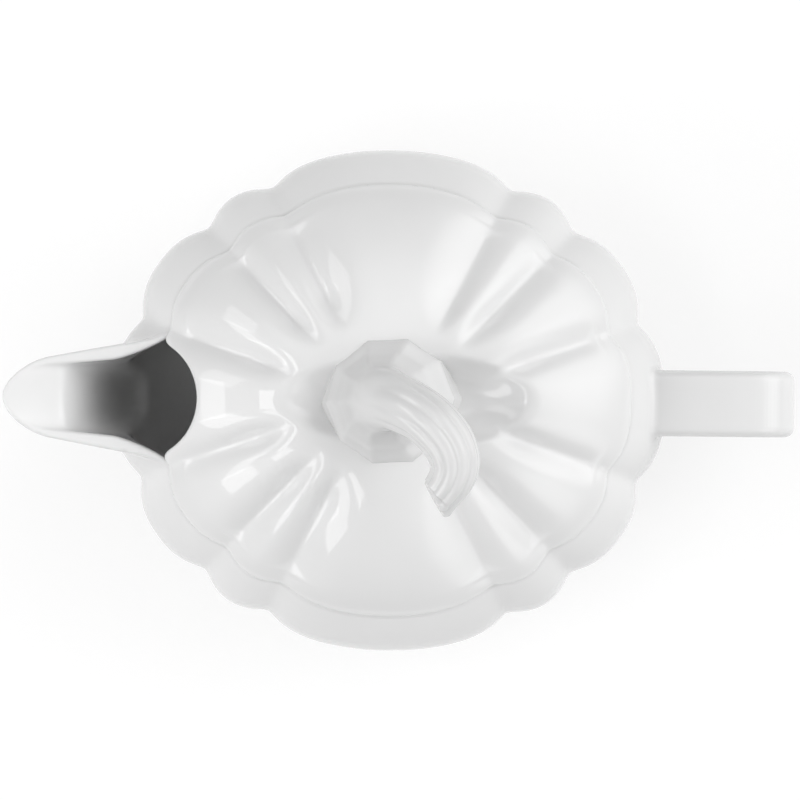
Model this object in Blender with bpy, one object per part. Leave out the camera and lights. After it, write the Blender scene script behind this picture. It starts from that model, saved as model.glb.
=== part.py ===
"""Lidded gravy boat in the shape of a ribbed pumpkin, in white glazed porcelain.

Metres, +Z up. The boat stands on the plane z = 0, the spout points to -X and the handle to +X.
The two loose pieces are the boat and the lid. Each is made of clay castings that are stuck
together with slip before firing, so every casting is a solid of its own here.
"""

import math

import bmesh
import bpy
from mathutils import Euler, Vector

# Plan of the pumpkin: two half axes of an oval that the lobes touch at the belly
BODY_LENGTH = 0.146
BODY_WIDTH = 0.1325
HALF_LENGTH = BODY_LENGTH / 2
HALF_WIDTH = BODY_WIDTH / 2

# Grooves between the lobes, in degrees round from the handle, for one quarter of the plan
QUARTER_GROOVES = (19.5, 46.0, 63.0)
GROOVE_BELLY = 0.0035
GROOVE_RIM = 0.0024
GROOVE_LID = 0.0042
GROOVE_INSIDE_SHARE = 0.7

# Lobes: narrower ones than FULL_LOBE_DEGREES stand lower, and wider ones are flatter across
FULL_LOBE_DEGREES = 26.0
LOBE_STEP_DEGREES = 11.0
LOBE_MIN_POWER = 2.0
LOBE_POWER_PER_DEGREE = 0.2

# Bowl
BELLY_HEIGHT = 0.037
RIM_HEIGHT = 0.061
RIM_INSET = 0.0105
RIM_WIDTH = 0.0045
WALL = 0.0038
FLOOR = 0.0045
FLOOR_INSET = 0.038
LOWER_STEPS = 5
UPPER_STEPS = 3

# Foot ring
FOOT_HEIGHT = 0.004
FOOT_INSET = 0.033
FOOT_WIDTH = 0.005
FOOT_TAPER = 0.0008
FOOT_SIDES = 48

# Joints: the slip line between stuck castings and the lid's seat
JOINT_GAP = 0.0003

# Edges that turn by more degrees than this look sharp
SHARP_DEGREES = 40.0

# Spout: an open channel, measured back from its tip
SPOUT_REACH = 0.0272
SPOUT_ROOT = 0.020
SPOUT_RISE = 0.006
SPOUT_DEPTH = 0.040
SPOUT_NOSE_HALF = 0.00825
SPOUT_NOSE_LENGTH = 0.0124
SPOUT_SPREAD_SHARE = 0.19
SPOUT_LIP = 0.0016
SPOUT_FLOOR = 0.0038
SPOUT_KEEL = 0.0022
SPOUT_ROUNDING_POWER = 0.8
SPOUT_STEPS = 12
SPOUT_STEP_POWER = 1.6
SPOUT_SIDES = 14
CHANNEL_NOSE_HALF = 0.0071
CHANNEL_SPREAD_SHARE = 0.095
CHANNEL_FLARE = 0.0064
CHANNEL_FLARE_POWER = 1.5

# Strap handle
HANDLE_REACH = 0.0335
HANDLE_TOP = 0.0545
HANDLE_BOTTOM = 0.0165
HANDLE_WIDTH = 0.0173
HANDLE_THICKNESS = 0.0068
HANDLE_ROUNDING_POWER = 0.4
HANDLE_STEPS = 3
HANDLE_SIDES = 16

# Lid
LID_WALL = 0.0038
LID_EDGE = 0.0014
LID_OVERHANG = 0.0005
DIMPLE_DEPTH = 0.005
DIMPLE_RADIUS = 0.021
DIMPLE_POWER = 6
LID_STEPS = 8
LID_STEP_POWER = 1.3
NOTCH_RADIUS = 0.0156
NOTCH_DEPTH = 0.0131
NOTCH_SIDES = 40

# Locating rim under the lid
COLLAR_CLEARANCE = 0.0009
COLLAR_WALL = 0.0032
COLLAR_DEPTH = 0.006
COLLAR_NOTCH_MARGIN = 0.006

# Stem knob
STEM_BASE_RADIUS = 0.0162
STEM_SEAT_MARGIN = 0.0007
STEM_END_RADIUS = 0.0051
STEM_HEIGHT = 0.025
STEM_SWING = 0.025
STEM_FLUTES = 10
STEM_FLUTE_SHARE = 0.07
STEM_FLUTE_STEPS = 3
STEM_STEPS = 2
STEM_CUT_DEGREES = 15.0

# Handle centreline, from the upper root to the lower: shares of the reach and of the height
HANDLE_PATH_SHARES = (
    (-0.25, 0.93),
    (-0.02, 0.965),
    (0.30, 0.995),
    (0.62, 1.00),
    (0.86, 0.96),
    (1.00, 0.80),
    (0.95, 0.54),
    (0.72, 0.30),
    (0.38, 0.13),
    (0.02, 0.04),
    (-0.30, 0.00),
)

# Stem centreline: shares of the swing (x, y) and of the height, and the radius between end and base
STEM_PATH_SHARES = (
    (0.01, -0.01, 0.00, 1.00),
    (0.00, -0.01, 0.065, 0.93),
    (-0.04, 0.00, 0.135, 0.71),
    (-0.07, 0.00, 0.255, 0.51),
    (-0.07, 0.00, 0.40, 0.37),
    (-0.025, 0.00, 0.55, 0.27),
    (0.07, -0.015, 0.695, 0.21),
    (0.195, -0.07, 0.825, 0.18),
    (0.345, -0.15, 0.925, 0.16),
    (0.49, -0.27, 0.985, 0.15),
    (0.61, -0.43, 1.00, 0.135),
    (0.665, -0.61, 0.985, 0.11),
    (0.635, -0.755, 0.95, 0.07),
    (0.56, -0.88, 0.91, 0.04),
    (0.45, -0.985, 0.865, 0.00),
)

# The upper wall is part of an ellipse that rises to DOME_RISE above the belly
RIM_TURN = math.acos(1 - RIM_INSET / HALF_WIDTH)
DOME_RISE = (RIM_HEIGHT - BELLY_HEIGHT) / math.sin(RIM_TURN)
INNER_HALF = HALF_WIDTH - WALL
MOUTH_INSET = RIM_INSET + RIM_WIDTH
MOUTH_TURN = math.acos(1 - (MOUTH_INSET - WALL) / INNER_HALF)
INNER_RISE = (RIM_HEIGHT - BELLY_HEIGHT) / math.sin(MOUTH_TURN)

# Lid places, as insets from the belly's outline
LID_RIM_INSET = RIM_INSET - LID_OVERHANG
STEM_SEAT_INSET = HALF_WIDTH - STEM_BASE_RADIUS - STEM_SEAT_MARGIN
COLLAR_INSET = MOUTH_INSET + COLLAR_CLEARANCE
COLLAR_INNER = COLLAR_INSET + COLLAR_WALL
NOTCH_X = -(HALF_LENGTH - RIM_INSET - NOTCH_DEPTH + NOTCH_RADIUS)

# The pumpkin's axis stands off the origin, so that the origin is the middle of the whole length
AXIS_X = (SPOUT_REACH - HANDLE_REACH) / 2


def blend(low, high, share):
    return low + (high - low) * share


def smooth_step(share):
    share = min(max(share, 0.0), 1.0)
    return share * share * (3 - 2 * share)


def signed_power(value, power):
    """A power that keeps the value's sign, to square off a round section."""
    return math.copysign(abs(value) ** power, value)


def groove_angles():
    """Angles of all grooves round the plan, in radians."""
    quarter = [math.radians(degrees) for degrees in QUARTER_GROOVES]
    half = quarter + [math.pi - angle for angle in reversed(quarter)]
    return half + [angle + math.pi for angle in half]


def ribbed_angles():
    """(angle, groove) pairs round the plan: groove is 1 in a groove and 0 on a full lobe's crest."""
    grooves = groove_angles()
    pairs = []
    for start, end in zip(grooves, grooves[1:] + [grooves[0] + 2 * math.pi]):
        width = math.degrees(end - start)
        height = min(1.0, math.sqrt(width / FULL_LOBE_DEGREES))
        power = max(LOBE_MIN_POWER, LOBE_POWER_PER_DEGREE * width / 2)
        steps = 2 * math.ceil(width / LOBE_STEP_DEGREES)
        for step in range(steps):
            across = -math.cos(math.pi * step / steps)
            angle = blend(start, end, (1 + across) / 2)
            pairs.append((angle, 1 - height * (1 - abs(across) ** power)))
    return pairs


RIBS = ribbed_angles()


def ribbed_ring(inset, z, groove=0.0, drop=0.0):
    """One ring of the pumpkin: inset from the belly's outline, drawn in and lowered at the grooves."""
    points = []
    for angle, share in RIBS:
        along = HALF_LENGTH - inset - groove * share
        across = HALF_WIDTH - inset - groove * share
        points.append(Vector((along * math.cos(angle), across * math.sin(angle), z - drop * share)))
    return points


def oval_ring(inset, z, sides):
    turns = [2 * math.pi * side / sides for side in range(sides)]
    along = HALF_LENGTH - inset
    across = HALF_WIDTH - inset
    return [Vector((along * math.cos(turn), across * math.sin(turn), z)) for turn in turns]


def smooth_path(points, steps):
    """Points on a smooth curve through the given ones, each a tuple of numbers."""
    ends = [points[0], *points, points[-1]]
    path = []
    for before, start, end, after in zip(ends, ends[1:], ends[2:], ends[3:]):
        for step in range(steps):
            t = step / steps
            path.append(tuple(curve_value(t, *values) for values in zip(before, start, end, after)))
    return path + [points[-1]]


def curve_value(t, before, start, end, after):
    slope_in = (end - before) / 2
    slope_out = (after - start) / 2
    cubic = 2 * (start - end) + slope_in + slope_out
    square = 3 * (end - start) - 2 * slope_in - slope_out
    return ((cubic * t + square) * t + slope_in) * t + start


def lofted_mesh(name, rings, closed=False):
    """Mesh through rings of equally many points, capped at both ends or closed on itself."""
    shape = bmesh.new()
    rows = [[shape.verts.new(point) for point in ring] for ring in rings]
    count = len(rows[0])
    pairs = list(zip(rows, rows[1:]))
    if closed:
        pairs.append((rows[-1], rows[0]))
    for row, following in pairs:
        for k in range(count):
            after = (k + 1) % count
            shape.faces.new((row[k], row[after], following[after], following[k]))
    if not closed:
        shape.faces.new(list(reversed(rows[0])))
        shape.faces.new(rows[-1])
    bmesh.ops.recalc_face_normals(shape, faces=shape.faces)
    bmesh.ops.triangulate(shape, faces=shape.faces)
    mesh = bpy.data.meshes.new(name)
    shape.to_mesh(mesh)
    shape.free()
    return mesh


def add_object(name, mesh, parent):
    thing = bpy.data.objects.new(name, mesh)
    bpy.context.scene.collection.objects.link(thing)
    thing.parent = parent
    return thing


def add_piece(name, mesh, parent, material):
    mesh.shade_smooth()
    mesh.set_sharp_from_angle(angle=math.radians(SHARP_DEGREES))
    mesh.materials.append(material)
    return add_object(name, mesh, parent)


def add_cutter(name, mesh, parent):
    cutter = add_object(name, mesh, parent)
    cutter.hide_render = True
    cutter.display_type = "WIRE"
    return cutter


def cut(piece, cutter):
    boolean = piece.modifiers.new(cutter.name, "BOOLEAN")
    boolean.operation = "DIFFERENCE"
    boolean.object = cutter


def add_empty(name, place):
    empty = bpy.data.objects.new(name, None)
    bpy.context.scene.collection.objects.link(empty)
    empty.location = place
    return empty


def porcelain(name, colour, roughness):
    material = bpy.data.materials.new(name)
    material.use_nodes = True
    shader = material.node_tree.nodes["Principled BSDF"]
    shader.inputs["Base Color"].default_value = (*colour, 1.0)
    shader.inputs["Roughness"].default_value = roughness
    shader.inputs["Metallic"].default_value = 0.0
    return material


# Bowl and foot ring


def bowl_outside(gap=0.0):
    """Rings from the foot up to the rim, a gap outside the bowl's own face."""
    rings = []
    for step in range(LOWER_STEPS):
        turn = math.pi / 2 * (step / LOWER_STEPS - 1)
        inset = FOOT_INSET * (1 - math.cos(turn)) - gap
        z = BELLY_HEIGHT + (BELLY_HEIGHT - FOOT_HEIGHT) * math.sin(turn)
        rings.append(ribbed_ring(inset, z, GROOVE_BELLY * math.cos(turn)))
    for step in range(UPPER_STEPS + 1):
        share = step / UPPER_STEPS
        turn = RIM_TURN * share
        inset = HALF_WIDTH * (1 - math.cos(turn)) - gap
        z = BELLY_HEIGHT + DOME_RISE * math.sin(turn)
        rings.append(ribbed_ring(inset, z, blend(GROOVE_BELLY, GROOVE_RIM, share)))
    return rings


def bowl_inside():
    """Rings from the mouth down to the floor."""
    rings = []
    for step in range(UPPER_STEPS, 0, -1):
        share = step / UPPER_STEPS
        turn = MOUTH_TURN * share
        inset = WALL + INNER_HALF * (1 - math.cos(turn))
        z = BELLY_HEIGHT + INNER_RISE * math.sin(turn)
        groove = GROOVE_INSIDE_SHARE * blend(GROOVE_BELLY, GROOVE_RIM, share)
        rings.append(ribbed_ring(inset, z, groove))
    for step in range(LOWER_STEPS + 1):
        turn = -math.pi / 2 * step / LOWER_STEPS
        inset = WALL + (FLOOR_INSET - WALL) * (1 - math.cos(turn))
        z = BELLY_HEIGHT + (BELLY_HEIGHT - FOOT_HEIGHT - FLOOR) * math.sin(turn)
        rings.append(ribbed_ring(inset, z, GROOVE_INSIDE_SHARE * GROOVE_BELLY * math.cos(turn)))
    return rings


def body_block(parent):
    """The bowl's outside as a filled block, to shape what is stuck on to it."""
    rings = bowl_outside(JOINT_GAP)
    above = RIM_HEIGHT + SPOUT_RISE + WALL
    rings.append(ribbed_ring(RIM_INSET - JOINT_GAP, above, GROOVE_RIM))
    return add_cutter("body_block", lofted_mesh("body_block", rings), parent)


def add_bowl(parent, material, channel):
    bowl = add_piece("bowl", lofted_mesh("bowl", bowl_outside() + bowl_inside()), parent, material)
    cut(bowl, channel)
    return bowl


def add_foot_ring(parent, material):
    top = FOOT_HEIGHT - JOINT_GAP
    inner = FOOT_INSET + FOOT_WIDTH
    rings = [
        oval_ring(FOOT_INSET, top, FOOT_SIDES),
        oval_ring(FOOT_INSET + FOOT_TAPER, 0.0, FOOT_SIDES),
        oval_ring(inner - FOOT_TAPER, 0.0, FOOT_SIDES),
        oval_ring(inner, top, FOOT_SIDES),
    ]
    return add_piece("foot_ring", lofted_mesh("foot_ring", rings, closed=True), parent, material)


# Spout


SPOUT_LENGTH = SPOUT_REACH + SPOUT_ROOT


def spout_half_width(back, nose_half, spread_share):
    """Half the width at a distance back from the tip: a round nose that goes over into a taper."""
    nose = 1 - min(back / SPOUT_NOSE_LENGTH, 1.0)
    return nose_half * math.sqrt(1 - nose * nose) + spread_share * back


def spout_rim(back):
    """Height of the spout's rim, which climbs from the bowl's rim to the lip."""
    return RIM_HEIGHT + SPOUT_RISE * max(0.0, 1 - back / SPOUT_LENGTH) ** 2


def spout_depth(back, at_lip):
    """How far the channel or the keel lies under the rim: shallow at the lip, steep at the belly."""
    return at_lip + SPOUT_DEPTH * smooth_step(back / SPOUT_LENGTH)


def spout_section(back, half_width, top, depth, cover):
    """U of a section across the channel, closed by a flat cover above the rim."""
    x = back - HALF_LENGTH - SPOUT_REACH
    points = []
    for side in range(SPOUT_SIDES + 1):
        turn = math.pi * side / SPOUT_SIDES
        y = half_width * signed_power(math.cos(turn), SPOUT_ROUNDING_POWER)
        points.append(Vector((x, y, top - depth * math.sin(turn) ** SPOUT_ROUNDING_POWER)))
    if cover:
        points.append(Vector((x, -half_width, top + cover)))
        points.append(Vector((x, half_width, top + cover)))
    return points


def spout_stations(start):
    shares = [(step / SPOUT_STEPS) ** SPOUT_STEP_POWER for step in range(SPOUT_STEPS + 1)]
    return [blend(start, SPOUT_LENGTH, share) for share in shares]


def spout_channel(parent):
    """The space inside the spout, which also opens the bowl's wall."""
    rings = []
    for back in spout_stations(SPOUT_LIP):
        inside = back - SPOUT_LIP
        half_width = spout_half_width(inside + JOINT_GAP, CHANNEL_NOSE_HALF, CHANNEL_SPREAD_SHARE)
        half_width += CHANNEL_FLARE * max(0.0, (back - SPOUT_REACH) / SPOUT_ROOT) ** CHANNEL_FLARE_POWER
        rings.append(spout_section(back, half_width, spout_rim(back), spout_depth(inside, SPOUT_LIP), WALL))
    return add_cutter("spout_channel", lofted_mesh("spout_channel", rings), parent)


def add_spout(parent, material, channel, block):
    rings = []
    for back in spout_stations(JOINT_GAP):
        half_width = spout_half_width(back, SPOUT_NOSE_HALF, SPOUT_SPREAD_SHARE)
        depth = spout_depth(back, SPOUT_KEEL + SPOUT_FLOOR * smooth_step(back / SPOUT_REACH))
        rings.append(spout_section(back, half_width, spout_rim(back), depth, 0.0))
    spout = add_piece("pouring_spout", lofted_mesh("pouring_spout", rings), parent, material)
    cut(spout, channel)
    cut(spout, block)
    return spout


# Handle


def strap_section(centre, along):
    """Rounded flat section square to a path that lies in the XZ plane."""
    across = Vector((along.z, 0.0, -along.x))
    points = []
    for side in range(HANDLE_SIDES):
        turn = 2 * math.pi * side / HANDLE_SIDES
        y = HANDLE_WIDTH / 2 * signed_power(math.cos(turn), HANDLE_ROUNDING_POWER)
        out = HANDLE_THICKNESS / 2 * signed_power(math.sin(turn), HANDLE_ROUNDING_POWER)
        points.append(centre + across * out + Vector((0.0, y, 0.0)))
    return points


def add_handle(parent, material, block):
    reach = HANDLE_REACH - HANDLE_THICKNESS / 2
    top = HANDLE_TOP - HANDLE_THICKNESS / 2
    path = []
    for out, up in smooth_path(HANDLE_PATH_SHARES, HANDLE_STEPS):
        path.append(Vector((HALF_LENGTH + out * reach, 0.0, blend(HANDLE_BOTTOM, top, up))))
    rings = []
    for k, centre in enumerate(path):
        along = path[min(k + 1, len(path) - 1)] - path[max(k - 1, 0)]
        rings.append(strap_section(centre, along.normalized()))
    handle = add_piece("strap_handle", lofted_mesh("strap_handle", rings), parent, material)
    cut(handle, block)
    return handle


# Lid, its locating rim and the stem, in heights above the bowl's rim


def lid_top(inset):
    """Height of the lid's crests: the pumpkin's own dome, with a dimple round the stem."""
    across = 1 - inset / HALF_WIDTH
    dome = BELLY_HEIGHT + DOME_RISE * math.sqrt(1 - across * across) - RIM_HEIGHT
    dimple = DIMPLE_DEPTH * math.exp(-(((HALF_WIDTH - inset) / DIMPLE_RADIUS) ** DIMPLE_POWER))
    return dome + LID_EDGE - dimple


def lid_under(inset):
    """Height of the lid's underside, one wall below its top."""
    slope = (lid_top(inset + JOINT_GAP) - lid_top(inset - JOINT_GAP)) / (2 * JOINT_GAP)
    return lid_top(inset) - LID_WALL * math.sqrt(1 + slope * slope)


def lid_relief(inset):
    """(draw-in, drop) of the lid's grooves: sideways at the edge, downwards on top, none at the stem."""
    share = smooth_step((inset - LID_RIM_INSET) / RIM_INSET)
    fade = smooth_step((STEM_SEAT_INSET - inset) / RIM_INSET)
    return GROOVE_RIM * (1 - share), GROOVE_LID * share * fade


def lid_insets(start):
    shares = [(step / LID_STEPS) ** LID_STEP_POWER for step in range(LID_STEPS + 1)]
    return [blend(start, STEM_SEAT_INSET, share) for share in shares]


def under_ring(inset, gap=0.0):
    """Ring on the lid's underside, or a gap below it; the underside stays clear of the seat."""
    groove, drop = lid_relief(inset)
    ring = ribbed_ring(inset, lid_under(inset), groove, GROOVE_INSIDE_SHARE * drop)
    for point in ring:
        point.z = max(point.z, LID_EDGE) - gap
    return ring


def lid_rings():
    """Rings from the middle of the underside out to the seat, round the edge and over the top."""
    insets = [MOUTH_INSET, COLLAR_INSET, *lid_insets(COLLAR_INNER)]
    rings = [under_ring(inset) for inset in reversed(insets)]
    rings.append(ribbed_ring(MOUTH_INSET, JOINT_GAP, lid_relief(MOUTH_INSET)[0]))
    rings.append(ribbed_ring(LID_RIM_INSET, JOINT_GAP, GROOVE_RIM))
    for inset in lid_insets(LID_RIM_INSET):
        groove, drop = lid_relief(inset)
        rings.append(ribbed_ring(inset, max(lid_top(inset), LID_EDGE), groove, drop))
    return rings


def notch_cylinder(name, radius, parent):
    """Upright cylinder over the spout, to open what lies above it."""
    turns = [2 * math.pi * side / NOTCH_SIDES for side in range(NOTCH_SIDES)]
    outline = [Vector((NOTCH_X + radius * math.cos(turn), radius * math.sin(turn), 0.0)) for turn in turns]
    lift = Vector((0.0, 0.0, RIM_HEIGHT))
    rings = [[point - lift for point in outline], [point + lift for point in outline]]
    return add_cutter(name, lofted_mesh(name, rings), parent)


def add_lid(parent, material):
    lid = add_piece("lid_dome", lofted_mesh("lid_dome", lid_rings()), parent, material)
    cut(lid, notch_cylinder("lid_notch", NOTCH_RADIUS, parent))
    return lid


def add_collar(parent, material):
    rings = [
        under_ring(COLLAR_INSET, JOINT_GAP),
        ribbed_ring(COLLAR_INSET, -COLLAR_DEPTH, lid_relief(COLLAR_INSET)[0]),
        ribbed_ring(COLLAR_INNER, -COLLAR_DEPTH, lid_relief(COLLAR_INNER)[0]),
        under_ring(COLLAR_INNER, JOINT_GAP),
    ]
    mesh = lofted_mesh("lid_locating_rim", rings, closed=True)
    collar = add_piece("lid_locating_rim", mesh, parent, material)
    cut(collar, notch_cylinder("collar_notch", NOTCH_RADIUS + COLLAR_NOTCH_MARGIN, parent))
    return collar


def fluted_section(centre, along, side, radius):
    """Round section with ridges that run along the stem."""
    up = along.cross(side)
    count = STEM_FLUTES * STEM_FLUTE_STEPS
    points = []
    for k in range(count):
        turn = 2 * math.pi * k / count
        wave = 1 - STEM_FLUTE_SHARE * (1 - math.cos(STEM_FLUTES * turn))
        offset = side * math.cos(turn) + up * math.sin(turn)
        points.append(centre + offset * (radius * wave))
    return points


def add_stem(parent, material):
    """Stem that flares into the lid, leans over and curls to one side; its end is cut at a slant."""
    path = smooth_path(STEM_PATH_SHARES, STEM_STEPS)
    seat = lid_top(STEM_SEAT_INSET) + JOINT_GAP
    centres = [Vector((x * STEM_SWING, y * STEM_SWING, seat + z * STEM_HEIGHT)) for x, y, z, _ in path]
    flares = [share for _, _, _, share in path]
    upright = Vector((0.0, 0.0, 1.0))
    along = upright
    side = Vector((1.0, 0.0, 0.0))
    rings = []
    for k, centre in enumerate(centres):
        turned = centres[min(k + 1, len(centres) - 1)] - centres[max(k - 1, 0)]
        turned = turned.normalized().lerp(upright, flares[k]).normalized()
        if k == len(centres) - 1:
            turned.rotate(Euler((0.0, 0.0, -math.radians(STEM_CUT_DEGREES))))
        side = along.rotation_difference(turned) @ side
        along = turned
        radius = blend(STEM_END_RADIUS, STEM_BASE_RADIUS, flares[k])
        rings.append(fluted_section(centre, along, side, radius))
    return add_piece("stem_knob", lofted_mesh("stem_knob", rings), parent, material)


def main():
    for thing in list(bpy.data.objects):
        bpy.data.objects.remove(thing, do_unlink=True)
    glaze = porcelain("white_glaze", (0.90, 0.90, 0.89), 0.12)
    biscuit = porcelain("bare_biscuit", (0.82, 0.80, 0.76), 0.65)
    boat = add_empty("boat_axis", (AXIS_X, 0.0, 0.0))
    lid = add_empty("lid_axis", (AXIS_X, 0.0, RIM_HEIGHT))
    channel = spout_channel(boat)
    block = body_block(boat)
    add_bowl(boat, glaze, channel)
    add_foot_ring(boat, biscuit)
    add_spout(boat, glaze, channel, block)
    add_handle(boat, glaze, block)
    add_lid(lid, glaze)
    add_collar(lid, glaze)
    add_stem(lid, glaze)


main()
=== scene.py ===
"""Looks of the lidded gravy boat: white glazed porcelain in the shape of a ribbed pumpkin.

The boat and the lid are each one glazed skin. A distance field describes its surface, with the soft
joints that slip and glaze leave where castings meet, and a fine mesh is laid on the field. The mesh is
then parted into the castings that the frame names, which meet without a visible seam. The stem is made
of rings instead, and stands on the lid.
"""

import math
from functools import partial

import bmesh
import bpy
import numpy as np
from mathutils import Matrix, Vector


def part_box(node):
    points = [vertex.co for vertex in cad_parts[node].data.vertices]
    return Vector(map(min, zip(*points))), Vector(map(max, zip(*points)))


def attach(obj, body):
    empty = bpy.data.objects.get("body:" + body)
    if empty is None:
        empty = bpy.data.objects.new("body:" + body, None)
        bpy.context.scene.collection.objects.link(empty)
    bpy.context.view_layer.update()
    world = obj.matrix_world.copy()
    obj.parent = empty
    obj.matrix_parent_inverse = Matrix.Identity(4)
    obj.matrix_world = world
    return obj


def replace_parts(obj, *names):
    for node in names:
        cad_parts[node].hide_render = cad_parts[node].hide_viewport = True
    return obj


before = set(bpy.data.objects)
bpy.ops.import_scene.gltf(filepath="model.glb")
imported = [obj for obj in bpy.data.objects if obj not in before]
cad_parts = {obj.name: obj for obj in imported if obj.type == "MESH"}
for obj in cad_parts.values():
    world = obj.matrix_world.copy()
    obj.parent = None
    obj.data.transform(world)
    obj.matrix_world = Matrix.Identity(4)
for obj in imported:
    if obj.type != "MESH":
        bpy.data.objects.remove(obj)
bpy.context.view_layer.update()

# Sizes from the frame, in metres like every length below
BOWL_LOW, BOWL_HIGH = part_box("bowl")
SPOUT_LOW, SPOUT_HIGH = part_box("pouring_spout")
HANDLE_LOW, HANDLE_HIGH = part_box("strap_handle")
STEM_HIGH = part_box("stem_knob")[1]
AXIS_X = (BOWL_LOW[0] + BOWL_HIGH[0]) / 2
HALF_LENGTH = (BOWL_HIGH[0] - BOWL_LOW[0]) / 2
HALF_WIDTH = (BOWL_HIGH[1] - BOWL_LOW[1]) / 2
RIM_HEIGHT = BOWL_HIGH[2]
FOOT_HEIGHT = BOWL_LOW[2]
SPOUT_TIP = AXIS_X - SPOUT_LOW[0]
HANDLE_END = HANDLE_HIGH[0] - AXIS_X
HANDLE_WIDTH = HANDLE_HIGH[1] - HANDLE_LOW[1]

# Grooves between the lobes, in degrees round from the handle for one quarter of the plan
QUARTER_GROOVES = (19.5, 46.0, 63.0)
# A lobe at least this many degrees wide comes out to the full plan, and a narrower one stays lower
FULL_LOBE = 26.0
# How full the lobes are, from the one at an end to the one at a side
LOBE_POWERS = (3.9, 2.65, 2.0, 5.4)
LOBE_POWERS_LID = (3.9, 2.5, 1.9, 3.4)
# Depth of the grooves, how far before the stem they fade, and how widely their bottoms are rounded
GROOVE_BELLY = 0.0035
GROOVE_RIM = 0.0024
GROOVE_LID = 0.0038
GROOVE_LID_FADE = 0.014
GROOVE_BELLY_ROUND = 0.0012
GROOVE_RIM_ROUND = 0.0022
GROOVE_LID_ROUND = 0.0013
# Share of the depth that shows on the inside
GROOVE_INSIDE = 0.7

# Bowl and foot
BELLY_HEIGHT = 0.037
RIM_INSET = 0.0105
RIM_WIDTH = 0.0045
WALL = 0.0038
FLOOR = 0.0045
FLOOR_INSET = 0.038
FOOT_INSET = 0.033
FOOT_WIDTH = 0.005
FOOT_EDGE = 0.0012

# Spout: its root lies this far inside the belly's end, and its other lengths run back from its tip
SPOUT_ROOT = 0.020
SPOUT_RISE = 0.006
SPOUT_NOSE_HALF = 0.00825
SPOUT_NOSE_LENGTH = 0.0124
SPOUT_SPREAD = 0.19
SPOUT_KEEL = 0.0036
SPOUT_FLOOR = 0.0030
SPOUT_POWER = 2.5
CHANNEL_START = 0.0011
CHANNEL_NOSE_HALF = 0.0072
CHANNEL_NOSE_LENGTH = 0.0116
CHANNEL_SPREAD = 0.095
CHANNEL_FLARE = 0.0072
CHANNEL_FLARE_POWER = 1.5
CHANNEL_LIP_DEPTH = 0.0007
CHANNEL_FALL = 0.12
CHANNEL_PLUNGE = 0.033
PLUNGE_START = 0.012
PLUNGE_LENGTH = 0.0215

# Handle
HANDLE_TOP = 0.0545
HANDLE_BOTTOM = 0.0165
HANDLE_THICKNESS = 0.0068
HANDLE_CORNER = 0.0026
# Its middle line from the upper root to the lower, in shares of its reach and of its height
HANDLE_PATH = (
    (-0.25, 0.93),
    (-0.02, 0.965),
    (0.30, 0.995),
    (0.62, 1.00),
    (0.86, 0.96),
    (1.00, 0.80),
    (0.95, 0.54),
    (0.72, 0.30),
    (0.38, 0.13),
    (0.02, 0.04),
    (-0.30, 0.00),
)

# Lid, with heights above the bowl's rim
JOINT_GAP = 0.0003
LID_WALL = 0.0038
LID_EDGE = 0.0014
LID_OVERHANG = 0.0005
DIMPLE_ALONG = 0.0325
DIMPLE_ACROSS = 0.0130
DIMPLE_SHIFT = 0.0045
DIMPLE_SLOPE = 1.60
DIMPLE_DEPTH = 0.0095
DIMPLE_RIDGE = 0.0015
DIMPLE_HOLLOW = 0.0030
DISH_DEPTH = 0.0040
DISH_RADIUS = 0.0200
NOTCH_RADIUS = 0.0156
NOTCH_DEPTH = 0.0131
COLLAR_CLEARANCE = 0.0009
COLLAR_WALL = 0.0032
COLLAR_DEPTH = 0.006
COLLAR_NOTCH_MARGIN = 0.006

# Stem, from the middle of its base: x, y, height and radius of the rings along it
STEM_RINGS = (
    (0.0003, -0.0002, -0.0080, 0.0188),
    (0.0003, -0.0002, -0.0030, 0.0174),
    (0.0003, -0.0002, 0.0000, 0.0165),
    (0.0003, -0.0002, 0.0008, 0.0162),
    (0.0000, -0.0002, 0.0016, 0.0154),
    (-0.0010, -0.0001, 0.0034, 0.0130),
    (-0.0018, 0.0000, 0.0064, 0.0108),
    (-0.0018, 0.0001, 0.0100, 0.0092),
    (-0.0006, 0.0001, 0.0138, 0.0081),
    (0.0018, -0.0004, 0.0174, 0.0074),
    (0.0049, -0.0017, 0.0206, 0.0071),
    (0.0086, -0.0038, 0.0231, 0.0069),
    (0.0122, -0.0068, 0.0246, 0.0068),
    (0.0152, -0.0108, 0.0250, 0.0066),
    (0.0166, -0.0152, 0.0246, 0.0063),
    (0.0159, -0.0189, 0.0238, 0.0059),
    (0.0140, -0.0220, 0.0227, 0.0055),
    (0.0112, -0.0246, 0.0216, 0.0051),
    (0.0066, -0.0274, 0.0202, 0.0047),
)
STEM_BASE_RADIUS = 0.0162
STEM_SEAT_MARGIN = 0.0007
STEM_SEAT = 0.0182
# Rings at least as wide as the first of these lie level, and those up to the second follow the arm
STEM_UPRIGHT_RADIUS = 0.0100
STEM_LEANING_RADIUS = 0.0072
# Facets round the stem: how many, points on each, their turn in degrees, and depths as shares of the radius
STEM_FACETS = 10
STEM_FACET_STEPS = 8
STEM_FACET_TURN = 3.0
STEM_FACET_DEPTH = 0.055
STEM_FLUTE_DEPTH = 0.10
# Rows of STEM_RINGS between which the facets fade out and the flutes fade in
STEM_FACETS_END = (6.0, 9.0)
STEM_FLUTES_START = (7.5, 12.0)
# Slanted end of the stem: a point on its plane, the way it faces, and how far before it the arm's rings stop
STEM_END = (0.0111, -0.0240, 0.0215)
STEM_END_DIRECTION = (-0.86, -0.50, 0.06)
STEM_END_MARGIN = 0.0024
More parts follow.
